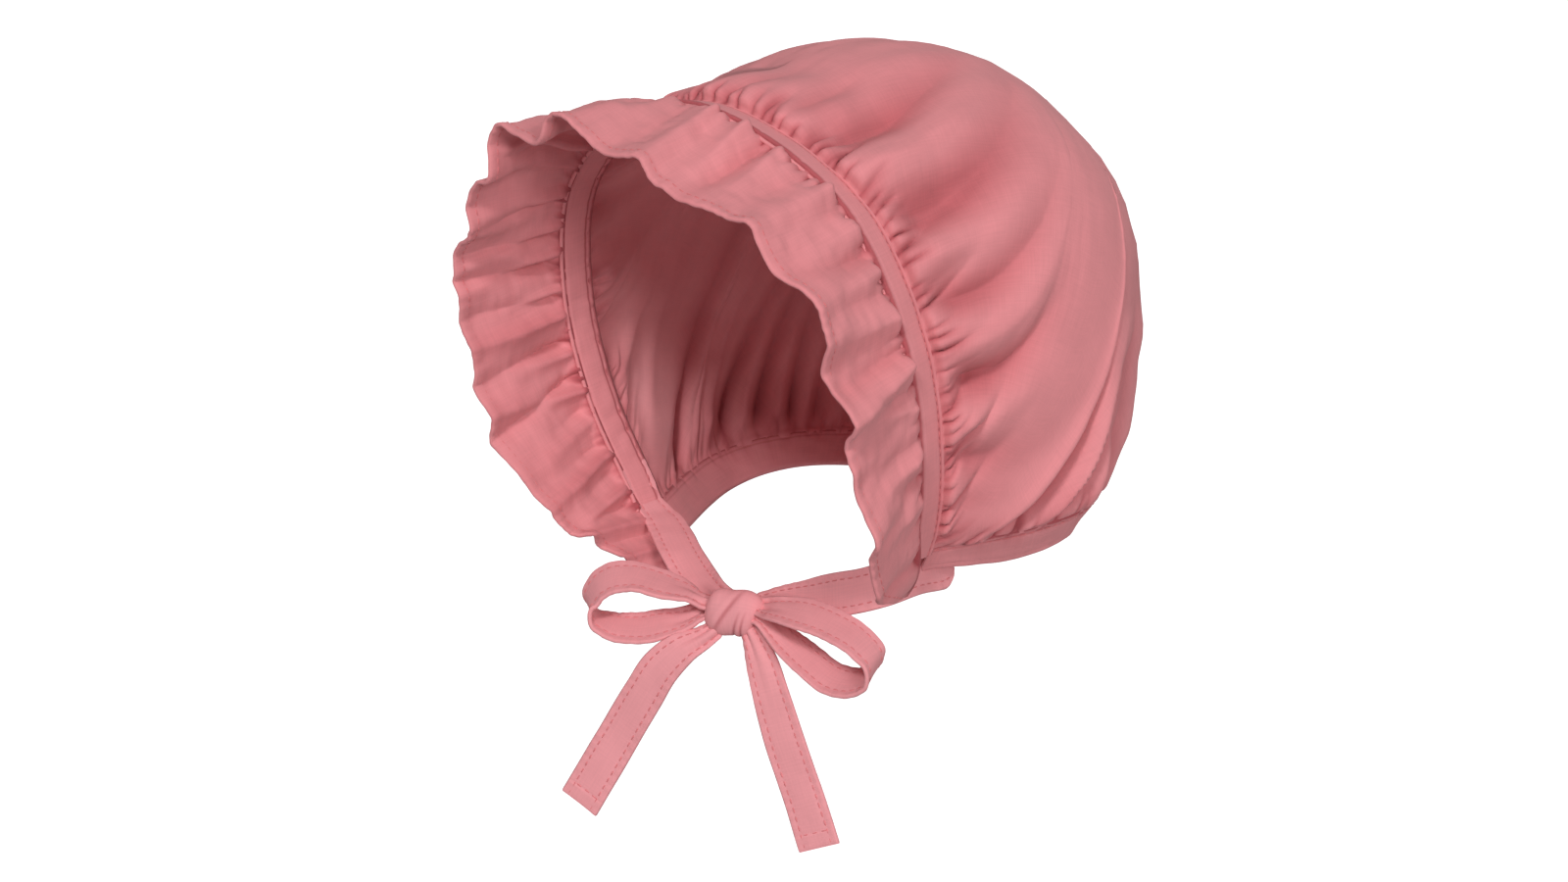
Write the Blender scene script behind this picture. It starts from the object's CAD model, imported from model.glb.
import math

import bpy
import numpy as np
from mathutils import Matrix, Vector


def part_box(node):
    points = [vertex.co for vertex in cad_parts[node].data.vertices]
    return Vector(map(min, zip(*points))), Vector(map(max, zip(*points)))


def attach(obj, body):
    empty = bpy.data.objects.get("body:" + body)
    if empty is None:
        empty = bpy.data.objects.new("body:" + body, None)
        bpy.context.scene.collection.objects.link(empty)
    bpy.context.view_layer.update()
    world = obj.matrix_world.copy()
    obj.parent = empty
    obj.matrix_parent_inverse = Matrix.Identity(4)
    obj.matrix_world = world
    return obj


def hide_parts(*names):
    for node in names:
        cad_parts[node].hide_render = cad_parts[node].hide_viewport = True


bl_info = {
    "name": "Baby bonnet",
    "version": (1, 0, 0),
    "blender": (4, 5, 0),
    "location": "View3D > Sidebar > Bonnet",
    "description": "Dresses the packed bonnet in gathered cloth, with its ruffle, bands and bow",
    "category": "Object",
}

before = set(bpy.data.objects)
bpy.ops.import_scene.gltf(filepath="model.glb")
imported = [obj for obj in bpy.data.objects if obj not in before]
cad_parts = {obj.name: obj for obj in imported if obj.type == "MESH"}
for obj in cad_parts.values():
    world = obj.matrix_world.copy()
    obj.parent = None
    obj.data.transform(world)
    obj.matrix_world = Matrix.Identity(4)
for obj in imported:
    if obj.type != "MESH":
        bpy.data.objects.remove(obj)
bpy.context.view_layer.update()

mm = 0.001

# Face seam: the line between the ruffle and the face band, from ear to ear over the head
FACE_WIDTH = 144.5 * mm
FACE_HEIGHT = 133.3 * mm
FACE_LEAN = 36.4 * mm
FACE_SEAM = (
    # along, half_width, height, forward
    (0.00, 0.000, 1.000, 1.000),
    (0.20, 0.470, 0.925, 0.923),
    (0.40, 0.838, 0.765, 0.758),
    (0.60, 0.999, 0.510, 0.503),
    (0.80, 0.981, 0.251, 0.245),
    (1.00, 0.822, 0.000, 0.000),
    (1.10, 0.725, -0.090, 0.030),
    (1.18, 0.640, -0.150, 0.070),
)
FACE_BAND_WIDTH = 10.7 * mm
FACE_BAND_TURN_IN = math.radians(5.9)
BAND_WALL = 1.6 * mm

# Neck seam: the top edge of the neck band, from the ears round the nape
NECK_WIDTH = 155.0 * mm
NECK_DEPTH = 81.6 * mm
NECK_RISE = 16.1 * mm
NECK_SEAM = (
    # around, half_width, back, rise
    (0.00, 0.000, 1.000, 1.000),
    (0.25, 0.613, 0.940, 0.932),
    (0.50, 0.930, 0.767, 0.714),
    (0.75, 1.000, 0.478, 0.391),
    (0.875, 0.925, 0.284, 0.199),
)
NECK_BAND_WIDTH = 12.6 * mm
NECK_BAND_TURN_IN = math.radians(38)
NECK_BAND_CORNER_LEFT = 2.6 * mm  # how far its lower corner reaches past the ear
NECK_BAND_CORNER_RIGHT = 6.8 * mm

# Crown: a rounded bag, wider than the head, gathered on to both bands
CROWN_WIDTH = 171.5 * mm
CROWN_BACK = 129.0 * mm
CROWN_TOP = 148.5 * mm
CROWN_BELOW = 89.5 * mm
CROWN_MIDDLE_BACK = 43.2 * mm
CROWN_MIDDLE_UP = 62.9 * mm
CROWN_SQUARENESS = 2.15
CROWN_SUMMIT_UP = math.radians(60)
CROWN_LEAVE = 0.55
CROWN_SHOULDER_FACE = 0.38
CROWN_SHOULDER_NECK = 0.75
CROWN_LEAVE_BY_EAR = 0.45  # the share of a seam by the ear where the cloth turns up to the summit
CROWN_SHOULDER_BY_EAR = 0.3  # the share by the ear where both shoulders meet
CROWN_RINGS_BY_SEAM = 1.75  # above one, the rings lie closer together by the seams
CROWN_FOLD_SHAPE = 1.45
CROWN_PUFF = 3.6 * mm
CROWN_PUFF_LESS_BY_NAPE = 2.2 * mm
CROWN_PUFF_LENGTH = 34 * mm
CROWN_GATHER_DEPTH = 1.5 * mm
CROWN_ROUND = 86 * mm  # about the crown's radius
CLOTH_ROUND = 90 * mm  # the radius at which the crown's cloth is laid flat for its weave
CROWN_PALER_INSIDE = 0.5  # how far its wrong side is paler than a gather is dark
ORDER_EASING = 40  # rounds of smoothing for the order round the summit
EAR_EASING = 70  # rounds of smoothing where the crown turns round the ear
CROWN_FOLDS = (
    # seam, at, half_width, depth_mm, reach, drift; a ridge has a depth below zero
    ("face", -0.930, 0.030, 2.6, 0.45, -0.10),
    ("face", -0.800, 0.036, 4.6, 0.60, -0.14),
    ("face", -0.710, 0.030, -2.2, 0.55, -0.14),
    ("face", -0.600, 0.036, 5.2, 0.66, -0.14),
    ("face", -0.490, 0.030, -2.4, 0.60, -0.13),
    ("face", -0.380, 0.038, 5.8, 0.72, -0.12),
    ("face", -0.285, 0.030, -2.4, 0.62, -0.08),
    ("face", -0.195, 0.032, 4.6, 0.66, -0.05),
    ("face", -0.070, 0.030, 3.0, 0.50, 0.00),
    ("face", 0.060, 0.026, 2.6, 0.42, 0.03),
    ("face", 0.175, 0.024, 3.4, 0.48, 0.03),
    ("face", 0.258, 0.032, 8.0, 0.88, 0.09),
    ("face", 0.345, 0.034, -3.6, 0.80, 0.12),
    ("face", 0.428, 0.036, 10.5, 0.88, 0.15),
    ("face", 0.500, 0.028, -3.4, 0.70, 0.17),
    ("face", 0.568, 0.028, 7.0, 0.74, 0.18),
    ("face", 0.630, 0.028, -2.8, 0.66, 0.26),
    ("face", 0.690, 0.034, 8.6, 0.70, 0.36),
    ("face", 0.765, 0.026, -2.6, 0.52, 0.38),
    ("face", 0.838, 0.028, 5.6, 0.50, 0.40),
    ("face", 0.925, 0.020, 3.0, 0.32, 0.30),
    ("neck", 0.965, 0.020, -4.6, 0.85, -0.12),
    ("neck", 0.912, 0.030, 7.4, 0.76, -0.24),
    ("neck", 0.860, 0.020, -3.6, 0.55, -0.50),
    ("neck", 0.800, 0.034, 6.2, 0.58, -0.56),
    ("neck", 0.690, 0.040, -2.4, 0.50, -0.30),
    ("neck", 0.590, 0.050, 4.4, 0.62, -0.10),
    ("neck", 0.470, 0.045, -2.4, 0.56, 0.00),
    ("neck", 0.350, 0.050, 4.6, 0.64, 0.02),
    ("neck", 0.230, 0.045, -2.2, 0.56, 0.00),
    ("neck", 0.110, 0.050, 4.4, 0.64, 0.00),
    ("neck", -0.010, 0.045, -2.4, 0.56, 0.00),
    ("neck", -0.130, 0.045, 4.6, 0.66, 0.00),
    ("neck", -0.230, 0.030, -3.6, 0.62, 0.00),
    ("neck", -0.290, 0.028, 2.6, 0.60, 0.00),
    ("neck", -0.345, 0.024, -4.4, 0.66, 0.00),
    ("neck", -0.380, 0.022, 2.6, 0.60, 0.02),
    ("neck", -0.415, 0.022, -5.2, 0.72, 0.00),
    ("neck", -0.465, 0.024, 3.2, 0.62, 0.06),
    ("neck", -0.525, 0.024, -6.2, 0.80, 0.12),
    ("neck", -0.590, 0.026, 3.4, 0.66, 0.20),
    ("neck", -0.655, 0.026, -6.0, 0.78, 0.28),
    ("neck", -0.755, 0.034, 4.2, 0.78, 0.26),
    ("neck", -0.820, 0.022, 2.4, 0.60, 0.10),
    ("neck", -0.880, 0.021, -7.4, 0.95, -0.10),
    ("neck", -0.960, 0.030, 3.0, 1.00, -0.20),
)
SEAM_UNITS = (178.0, 146.0)  # what one unit of place is worth on the face seam and the neck seam, in mm

# Ruffle: a hemmed frill that runs forward from the face seam and tapers to a point below each ear
RUFFLE_DEPTH = 40.0 * mm
RUFFLE_OVER_TIE = 5.0 * mm
RUFFLE_BEHIND_TIE = np.array((2.4, 5.2, -0.3)) * mm  # how its right tip lies behind the strap
RUFFLE_ROLL = 1.6 * mm
RUFFLE_GATHER_HEIGHT = 4.6 * mm
RUFFLE_TUCK_DEPTH = 2.6 * mm
RUFFLE_LEAN = 1.3 * mm  # how far a wave's crest hangs down at the hem
RUFFLE_PILLOWS_FROM = -0.25
RUFFLE_STRENGTH = (
    # along, how strong the gathers are
    (-1.20, 1.10),
    (-0.45, 1.10),
    (-0.25, 0.60),
    (0.05, 0.85),
    (0.30, 1.00),
    (0.60, 0.75),
    (1.10, 0.45),
)
RUFFLE_BULGES = (
    # along, half_width, out_mm
    (-0.26, 0.085, 4.4),
    (-0.08, 0.130, 2.6),
)
RUFFLE_OUTLINE = (
    # along, depth, flare_deg, droop
    (-1.18, 0.10, 0, 0.02),
    (-1.10, 0.40, 0, 0.10),
    (-1.00, 0.68, 0, 0.15),
    (-0.88, 0.86, 1, 0.09),
    (-0.70, 0.93, 1, 0.02),
    (-0.40, 0.96, 0, 0.00),
    (-0.15, 0.96, -3, 0.00),
    (0.10, 0.98, -6, 0.00),
    (0.40, 0.97, 3, 0.00),
    (0.70, 0.92, 14, 0.02),
    (0.88, 0.80, 12, 0.10),
    (0.96, 0.64, 10, 0.14),
    (1.02, 0.40, 6, 0.10),
    (1.08, 0.10, 0, 0.02),
)
RUFFLE_WAVES = (
    # along, out_mm at the hem
    (-1.18, 0.0),
    (-1.08, -2.2),
    (-1.02, -2.8),
    (-0.96, -2.4),
    (-0.91, -0.6),
    (-0.87, 0.4),
    (-0.825, 1.5),
    (-0.785, 4.2),
    (-0.735, 4.3),
    (-0.690, 4.5),
    (-0.660, 3.4),
    (-0.625, 3.7),
    (-0.585, 4.2),
    (-0.562, 3.4),
    (-0.530, 4.2),
    (-0.490, 4.0),
    (-0.450, 2.4),
    (-0.418, -4.0),
    (-0.390, -4.2),
    (-0.370, -0.3),
    (-0.345, 1.0),
    (-0.315, 0.2),
    (-0.278, -2.9),
    (-0.258, -0.4),
    (-0.242, 4.4),
    (-0.222, 7.0),
    (-0.200, 7.6),
    (-0.165, 1.0),
    (-0.125, -4.6),
    (-0.108, -3.5),
    (-0.090, 1.0),
    (-0.070, 3.0),
    (-0.050, 1.8),
    (-0.020, -2.2),
    (0.010, -5.6),
    (0.040, -7.3),
    (0.080, -6.0),
    (0.120, -5.6),
    (0.150, -8.0),
    (0.185, -9.0),
    (0.220, -8.3),
    (0.270, -7.7),
    (0.315, -5.0),
    (0.345, -2.0),
    (0.385, -4.1),
    (0.415, -4.7),
    (0.440, -2.8),
    (0.465, 2.2),
    (0.490, 4.2),
    (0.515, 3.3),
    (0.545, 0.5),
    (0.568, -4.0),
    (0.590, -5.6),
    (0.612, -3.8),
    (0.640, 0.2),
    (0.665, 0.9),
    (0.695, -3.8),
    (0.720, -3.6),
    (0.745, -1.1),
    (0.775, -1.3),
    (0.805, 1.2),
    (0.830, 5.8),
    (0.860, 4.3),
    (0.890, 4.8),
    (0.930, 6.5),
    (0.980, 5.0),
    (1.030, 2.5),
    (1.080, 0.0),
)

# Ties: flat tape from each ear to the bow under the chin
TIE_WIDTH = 12.8 * mm
KNOT_FORWARD = 15.0 * mm
KNOT_BELOW = 24.0 * mm
BOW_TURN = math.radians(22)
KNOT_LENGTH = 16.5 * mm
KNOT_HEIGHT = 14.5 * mm
KNOT_THICKNESS = 11.0 * mm
TIE_LEFT_ROUTE = (
    # ear_to_knot, outward_mm, forward_mm, up_mm, width, top_inward, top_back
    (0.00, -5.5, -15.7, -8.6, 1.00, 0.35, 0.10),
    (0.00, -5.8, -7.7, -8.6, 1.00, 0.35, 0.10),
    (0.00, -6.4, 0.6, -8.7, 1.00, 0.30, 0.20),
    (0.10, -6.8, 5.0, -9.8, 1.00, 0.20, 0.30),
    (0.50, -6.5, 4.4, -7.0, 0.94, 0.24, 0.30),
    (0.80, -3.4, 1.0, -2.8, 0.62, 0.24, 0.20),
    (1.00, 0.0, 0.0, 0.0, 0.40, 0.10, 0.10),
)
TIE_LEFT_END = (5.4, 2.0, -6.9)  # across, up and front in mm from the knot's middle, in the plane of the bow
TIE_RIGHT_ROUTE = (
    # x_mm, y_mm, z_mm from the middle between the ears, width, and where its rear edge lies: x, y, z
    (-55.9, 5.7, -2.2, 0.86, 0.25, 0.96, 0.05),
    (-50.9, 4.6, -4.4, 0.93, 0.40, 0.90, 0.08),
    (-45.4, 2.2, -7.0, 0.97, 0.50, 0.85, 0.10),
    (-34.4, -3.2, -12.3, 0.95, 0.66, 0.72, 0.16),
    (-18.4, -8.7, -19.2, 0.80, 0.50, 0.50, 0.60),
    (-7.6, -10.8, -21.2, 0.52, 0.20, 0.20, 1.00),
    (-4.4, -11.6, -21.4, 0.46, 0.20, 0.20, 1.00),
)
TIE_RIGHT_ON_BAND = (-0.93, -0.965, -1.0)  # places along the face band where the strap starts
TIE_RIGHT_FLAT = 46 * mm  # how far it stays flat from its start
LOOP_LEFT_ROUTE = (
    # across_mm, up_mm, front_mm, width
    (7.4, 2.4, 0.2, 0.42),
    (9.8, 2.6, 0.8, 0.50),
    (16.0, 3.4, 4.8, 0.74),
    (26.6, 3.2, 8.4, 1.00),
    (37.2, 0.9, 10.0, 1.00),
    (45.4, -3.5, 10.4, 1.00),
    (49.7, -8.5, 10.0, 1.00),
    (49.0, -13.3, 9.4, 1.00),
    (43.8, -16.4, 8.6, 1.00),
    (36.0, -16.1, 7.4, 1.00),
    (27.9, -12.0, 6.0, 0.98),
    (20.9, -7.7, 4.2, 0.86),
    (14.4, -3.5, 2.0, 0.66),
    (9.8, -0.8, 0.8, 0.50),
    (7.4, -0.4, 0.2, 0.42),
)
LOOP_LEFT_WIDTH_ALONG = (-0.04, -0.49, 0.87)
LOOP_RIGHT_ROUTE = (
    (-7.4, 2.2, -0.6, 0.44),
    (-9.8, 2.6, -0.4, 0.52),
    (-15.4, 5.2, 0.4, 0.78),
    (-24.2, 7.6, 1.6, 1.00),
    (-33.7, 9.3, 2.6, 1.00),
    (-40.4, 8.0, 3.0, 1.00),
    (-45.6, 4.2, 3.2, 1.00),
    (-47.4, 0.0, 3.2, 1.00),
    (-45.6, -4.0, 2.8, 1.00),
    (-40.8, -6.7, 2.4, 1.00),
    (-33.0, -7.2, 1.8, 1.00),
    (-25.2, -5.9, 1.2, 0.98),
    (-16.0, -3.2, 0.2, 0.74),
    (-9.8, -0.6, -0.4, 0.52),
    (-7.4, -0.4, -0.6, 0.44),
)
LOOP_RIGHT_WIDTH_ALONG = (0.545, -0.456, 0.709)
TAIL_LEFT_ROUTE = (
    (5.6, -4.6, 1.0, 0.44),
    (7.4, -7.6, 1.8, 0.54),
    (10.4, -13.4, 3.2, 0.76),
    (14.2, -23.4, 4.6, 0.90),
    (18.0, -35.1, 4.8, 0.97),
    (26.1, -58.0, 4.4, 1.02),
    (30.1, -69.9, 4.2, 1.04),
)
TAIL_RIGHT_ROUTE = (
    (-5.4, -5.4, 1.4, 0.42),
    (-8.6, -7.8, 3.0, 0.52),
    (-14.6, -11.2, 6.2, 0.76),
    (-21.4, -17.6, 7.4, 0.92),
    (-27.1, -26.4, 7.4, 0.97),
    (-38.6, -45.0, 6.6, 1.00),
    (-50.2, -63.7, 5.8, 1.02),
)
GAP = 0.3 * mm

# Cloth and thread as sewn
CROWN_CLOTH = 1.0 * mm
RUFFLE_CLOTH = 0.9 * mm
TAPE_CLOTH = 1.2 * mm
TUCKED_UNDER = 1.0 * mm  # how far the crown and the ruffle run into the bands
THREAD = 0.32 * mm
STITCH = 2.1 * mm
STITCH_SPACE = 0.7 * mm
STITCH_SUNK = 0.10 * mm
HEM = 3.2 * mm
SEAM_CORD = 0.62 * mm
SEAM_CORD_SIDES = 10
SEAM_LINE = 0.35 * mm  # half the width of the groove along a row of stitches
FACE_STITCH_LINE = 1.9 * mm  # from the face band's rear edge
NECK_STITCH_LINE = 1.6 * mm  # from the neck band's top edge
FACE_BAND_END = 1.015  # where it ends past the ears
NECK_BAND_NARROWS = 0.22  # the share it loses at the wearer's-left ear
TAPE_CUP = 1.32 * mm
TAPE_PLEAT = 0.5 * mm
TAPE_END_HEM = 4.6 * mm
EDGE_ROUNDING = 0.42  # how far a cut edge stands out, as a share of the cloth's thickness
GATHERS = {
    # name: spacing_mm, half_width_mm, reach_mm, spread, seed, both_ways
    "crown small": (4.4, 0.62, 15, 0.07, 11, False),
    "crown large": (10.5, 1.5, 44, 0.11, 5, False),
    "ruffle small": (4.0, 0.8, 8, 0.12, 31, False),
    "ruffle large": (5.8, 1.8, 66, 0.06, 33, True),
    "ruffle pillows": (7.2, 2.7, 60, 0.07, 38, True),
    "face band rear": (4.3, 0.9, 3.2, 0.12, 53, False),
    "face band front": (4.0, 0.5, 1.6, 0.05, 31, False),
    "face band inside": (4.6, 1.1, 7.0, 0.12, 54, False),
    "neck band pucker": (6.5, 1.2, 9, 0.12, 64, False),
    "neck band top": (4.3, 0.9, 4.0, 0.10, 63, False),
}
UNEVEN = {
    # name: rows of height_mm, wave_mm, seed
    "crown": ((1.5, 46, 21), (0.5, 17, 22)),
    "crown crumples": ((0.20, 8.5, 23),),
    "ruffle": ((0.55, 13, 41), (0.22, 6, 42)),
    "face band": ((0.10, 13, 52),),
    "face band inside": ((0.16, 9, 55),),
    "neck band": ((0.28, 11, 62),),
}
WAVES_MIXED = 9

# Looks: how the dye and the threads vary, and the stage
DYE_CLOUD = 0.26
SLUB_TONE = 0.20
SLUB_STRETCH = 0.045
TUCKED_DARKER = 0.48
TUCKED_REDDER = 0.26
WHITE = (1.0, 1.0, 1.0, 1)
ROOM_ROSE = (1.0, 0.87, 0.87, 1)
FLOOR_GREY = (0.55, 0.55, 0.55, 1)
FLOOR_HALF = 300.0

# Steps along and across each piece
CROWN_FACE_STEPS = 640
CROWN_NECK_STEPS = 400
CROWN_FINE_RINGS = 46
RUFFLE_FINE_STEPS = 980
RUFFLE_FINE_ROWS = 40
BAND_STEPS = 640
BAND_ROWS = 22
TAPE_STEPS = 190
TAPE_ROWS = 22
KNOT_TURNS = 120
KNOT_ROWS = 64

# Camera: where it stands, seen from the middle between the ears
VIEW_TURN = math.radians(44)
VIEW_RAISE = math.radians(9)
VIEW_DISTANCE = 1.0
VIEW_TARGET = np.array((0.0, 7.4, 26.9)) * mm
VIEW_FOCAL_PIXELS = 3290
IMAGE_WIDTH = 1600
SENSOR = 36.0


def smooth(x, knots, values):
    """The smooth curve through a table's rows, at x."""
    knots, values = np.asarray(knots, float), np.asarray(values, float)
    x = np.clip(np.asarray(x, float), knots[0], knots[-1])
    i = np.clip(np.searchsorted(knots, x, side="right") - 1, 0, len(knots) - 2)
    slope = np.gradient(values, knots, axis=0)
    step = knots[i + 1] - knots[i]
    t = (x - knots[i]) / step
    if values.ndim > 1:
        t, step = t[..., None], step[..., None]
    return (
        (2 * t**3 - 3 * t**2 + 1) * values[i]
        + (t**3 - 2 * t**2 + t) * step * slope[i]
        + (3 * t**2 - 2 * t**3) * values[i + 1]
        + (t**3 - t**2) * step * slope[i + 1]
    )


def fade(x):
    """1 at zero and before, 0 at one and beyond, smooth between."""
    x = np.clip(x, 0, 1)
    return 1 - x * x * (3 - 2 * x)


def unit(v):
    return v / np.maximum(np.linalg.norm(v, axis=-1, keepdims=True), 1e-12)


def square_to(v, axis):
    """v without its part along the unit vector axis, at length one."""
    return unit(v - (v * axis).sum(-1, keepdims=True) * axis)


def bell(x):
    return np.exp(-(x**2))


def mirrored(rows, odd_column):
    """A half table's rows on both sides of zero; the odd column changes sign."""
    rows = np.asarray(rows, float)
    other = rows[:0:-1].copy()
    other[:, 0] *= -1
    other[:, odd_column] *= -1
    return np.concatenate([other, rows])


def run_lengths(points):
    """The distance walked to each point of a line, from zero."""
    return np.concatenate([[0], np.cumsum(np.linalg.norm(np.diff(points, axis=0), axis=1))])


def face_seam(along):
    rows = mirrored(FACE_SEAM, 1)
    share = smooth(along, rows[:, 0], rows[:, 1:])
    return share[..., [0, 2, 1]] * (FACE_WIDTH / 2, -FACE_LEAN, FACE_HEIGHT)


def tangent(curve, at):
    step = 1e-3
    return unit(curve(at + step) - curve(at - step))


def face_frame(along):
    """Along, back and outward unit vectors on the face seam."""
    run = tangent(face_seam, along)
    back = square_to(np.array((0.0, 1.0, 0.0)) + 0 * run, run)
    return run, back, np.cross(run, back)


def face_band_across(along):
    _, back, out = face_frame(along)
    return back * math.cos(FACE_BAND_TURN_IN) - out * math.sin(FACE_BAND_TURN_IN)


def face_band_rear(along, beyond=0.0):
    return face_seam(along) + face_band_across(along) * (FACE_BAND_WIDTH + beyond)


def neck_seam(around):
    ear = face_band_rear(np.array(1.0))
    rows = np.array(NECK_SEAM) * (1, NECK_WIDTH / 2, NECK_DEPTH, NECK_RISE)
    rows = mirrored(np.vstack([rows, (1.0, ear[0], 0.0, 0.0)]), 1)
    place = smooth(around, rows[:, 0], rows[:, 1:])
    return place + np.array((0.0, ear[1], ear[2]))


def neck_band_across(around):
    run = tangent(neck_seam, around)
    outward = unit(np.cross(run, np.array((0.0, 0.0, 1.0)) + 0 * run))
    middle = neck_seam(around) - np.array((0.0, face_band_rear(np.array(1.0))[1], 0.0))
    outward = outward * np.sign((outward * middle).sum(-1, keepdims=True))
    down = square_to(np.array((0.0, 0.0, -1.0)) + 0 * run, run)
    return unit(down * math.cos(NECK_BAND_TURN_IN) - outward * math.sin(NECK_BAND_TURN_IN))


def crown_middle():
    return np.array((0.0, CROWN_MIDDLE_BACK, CROWN_MIDDLE_UP))


def round_form(direction):
    """The distance from the crown's middle to its round form."""
    n = CROWN_SQUARENESS
    depth = CROWN_BACK - CROWN_MIDDLE_BACK
    height = np.where(direction[..., 2] > 0, CROWN_TOP - CROWN_MIDDLE_UP, CROWN_BELOW)
    x, y, z = (abs(direction[..., i]) for i in range(3))
    return ((x / (CROWN_WIDTH / 2)) ** n + (y / depth) ** n + (z / height) ** n) ** (-1 / n)


def bow_frame():
    """The knot's middle, and the bow's across, up and front unit vectors as rows."""
    across = (math.cos(BOW_TURN), math.sin(BOW_TURN), 0.0)
    front = (math.sin(BOW_TURN), -math.cos(BOW_TURN), 0.0)
    return np.array((0.0, -KNOT_FORWARD, -KNOT_BELOW)), np.array((across, (0.0, 0.0, 1.0), front))


def in_bow(points):
    """Points measured in the plane of the bow, as places by the ears."""
    knot, axes = bow_frame()
    return knot + np.asarray(points, float) @ axes


def seat_point():
    """Where the crown rests on the head: the frame's origin, seen from the middle between the ears. It is
    the difference between the knot's place here and in the frame."""
    low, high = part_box("bow_knot")
    return in_bow((0.0, 0.0, 0.0)) - (np.array(low) + np.array(high)) / 2


SEAT = seat_point()


def tucks(length, spacing, seed, both_ways=False):
    """The small gathers along a seam, as rows of place, depth, width, reach and slant, each a little unlike
    the next. Lengths are in metres, the rest in shares. both_ways makes every other one a ridge."""
    draw = np.random.default_rng(seed)
    count = max(2, int(length / spacing))
    place = (np.arange(count) + 0.5 + draw.uniform(-0.36, 0.36, count)) * length / count
    return np.stack(
        [
            place,
            draw.uniform(0.35, 1.0, count) ** 1.3 * np.where(both_ways & (np.arange(count) % 2 == 1), -1, 1),
            draw.uniform(0.75, 1.35, count),
            draw.uniform(0.45, 1.5, count) ** 1.5,
            draw.uniform(-0.22, 0.22, count),
        ],
        axis=1,
    )


def tuck_depth(along, across, rows, half_width, reach, spread):
    """How deep the small gathers are at places along a seam and across from it: a share from 0 to about 1."""
    total = np.zeros(np.broadcast(along, across).shape)
    for place, depth, width, far, slant in rows:
        wide = half_width * width + spread * across
        off = abs((along - place - slant * across) / wide)
        total += depth * np.exp(-(off**1.5)) * fade(across / (reach * far))
    return total


def waviness(a, b, seed, scale):
    """A soft unevenness between -1 and 1 over a surface measured by a and b, with waves of about scale."""
    draw = np.random.default_rng(seed)
    total = 0
    for _ in range(WAVES_MIXED):
        turn, phase = draw.uniform(0, math.tau, 2)
        size = math.tau / (scale * draw.uniform(0.7, 1.6))
        bent = 0.8 * np.sin(size * 0.43 * (a - b))
        total = total + np.sin(size * (a * math.cos(turn) + b * math.sin(turn)) + phase + bent)
    return total / WAVES_MIXED * 1.6


def surface_normals(grid, closed=False):
    if closed:
        around = np.concatenate([grid[-1:], grid, grid[:1]])
        rows = (around[2:] - around[:-2]) / 2
    else:
        rows = np.gradient(grid, axis=0)
    return unit(np.cross(rows, np.gradient(grid, axis=1)))


def unevenness(name, a, b):
    """The uneven lift of a piece's cloth, in metres, from the rows of its table."""
    return sum(height * mm * waviness(a, b, seed, wave * mm) for height, wave, seed in UNEVEN[name])


def gathers(name, along, across, length):
    """How deep one kind of gathers is at places along a seam of that length and across from it."""
    spacing, half_width, reach, spread, seed, both_ways = GATHERS[name]
    rows = tucks(length, spacing * mm, seed, both_ways)
    return tuck_depth(along, across, rows, half_width * mm, reach * mm, spread)


def crown_edge():
    """The crown's edge, round the face and back round the nape: its places, the seam that each lies on, 0
    for the face and 1 for the neck, and where it is along that seam."""
    face = np.linspace(-1, 1, CROWN_FACE_STEPS + 1)
    neck = np.linspace(1, -1, CROWN_NECK_STEPS + 1)[1:-1]
    over = face_band_rear(face, -TUCKED_UNDER)
    under = neck_seam(neck) + neck_band_across(neck) * TUCKED_UNDER
    seam = np.repeat((0, 1), (len(face), len(neck)))
    return np.concatenate([over, under]), seam, np.concatenate([face, neck])


def crown_turns(edge, seam, at, sweep, summit):
    """Directions from the crown's middle, [round the edge][edge to summit]. They leave the seams squarely."""
    start = unit(edge - crown_middle())
    square = np.where((seam == 0)[:, None], face_band_across(at), -neck_band_across(at))
    weight = fade((1 - abs(at)) / CROWN_LEAVE_BY_EAR)[:, None]
    leave = unit(square_to(square, start) * (1 - weight) + square_to(summit, start) * weight)
    bend = start + leave * CROWN_LEAVE
    v = sweep[None, :, None]
    turn = unit((1 - v) ** 2 * start[:, None] + 2 * v * (1 - v) * bend[:, None] + v**2 * summit)
    return in_order(turn, summit, sweep)


def round_summit(turn, summit):
    """The angles of directions from the summit and their bearings round it, with the bearings' two axes."""
    sideways = np.array((1.0, 0.0, 0.0))
    ahead = np.cross(summit, sideways)
    away = np.arccos(np.clip(turn @ summit, -1, 1))
    return away, np.arctan2(turn @ ahead, turn @ sideways), sideways, ahead


def in_order(turn, summit, sweep):
    """The same directions in their order round the summit, so that no strip of cloth lies over the next."""
    away, bearing, sideways, ahead = round_summit(turn, summit)
    bearing = np.unwrap(bearing, axis=0)
    way = np.sign(bearing[-1] - bearing[0])
    ordered = np.sort(bearing * way, axis=0) * way
    for _ in range(ORDER_EASING):
        ordered[1:-1] = (ordered[:-2] + 2 * ordered[1:-1] + ordered[2:]) / 4
    bearing = (bearing + (ordered - bearing) * (1 - fade((sweep - 0.15) / 0.2)))[..., None]
    away = away[..., None]
    return summit * np.cos(away) + (sideways * np.cos(bearing) + ahead * np.sin(bearing)) * np.sin(away)


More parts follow.
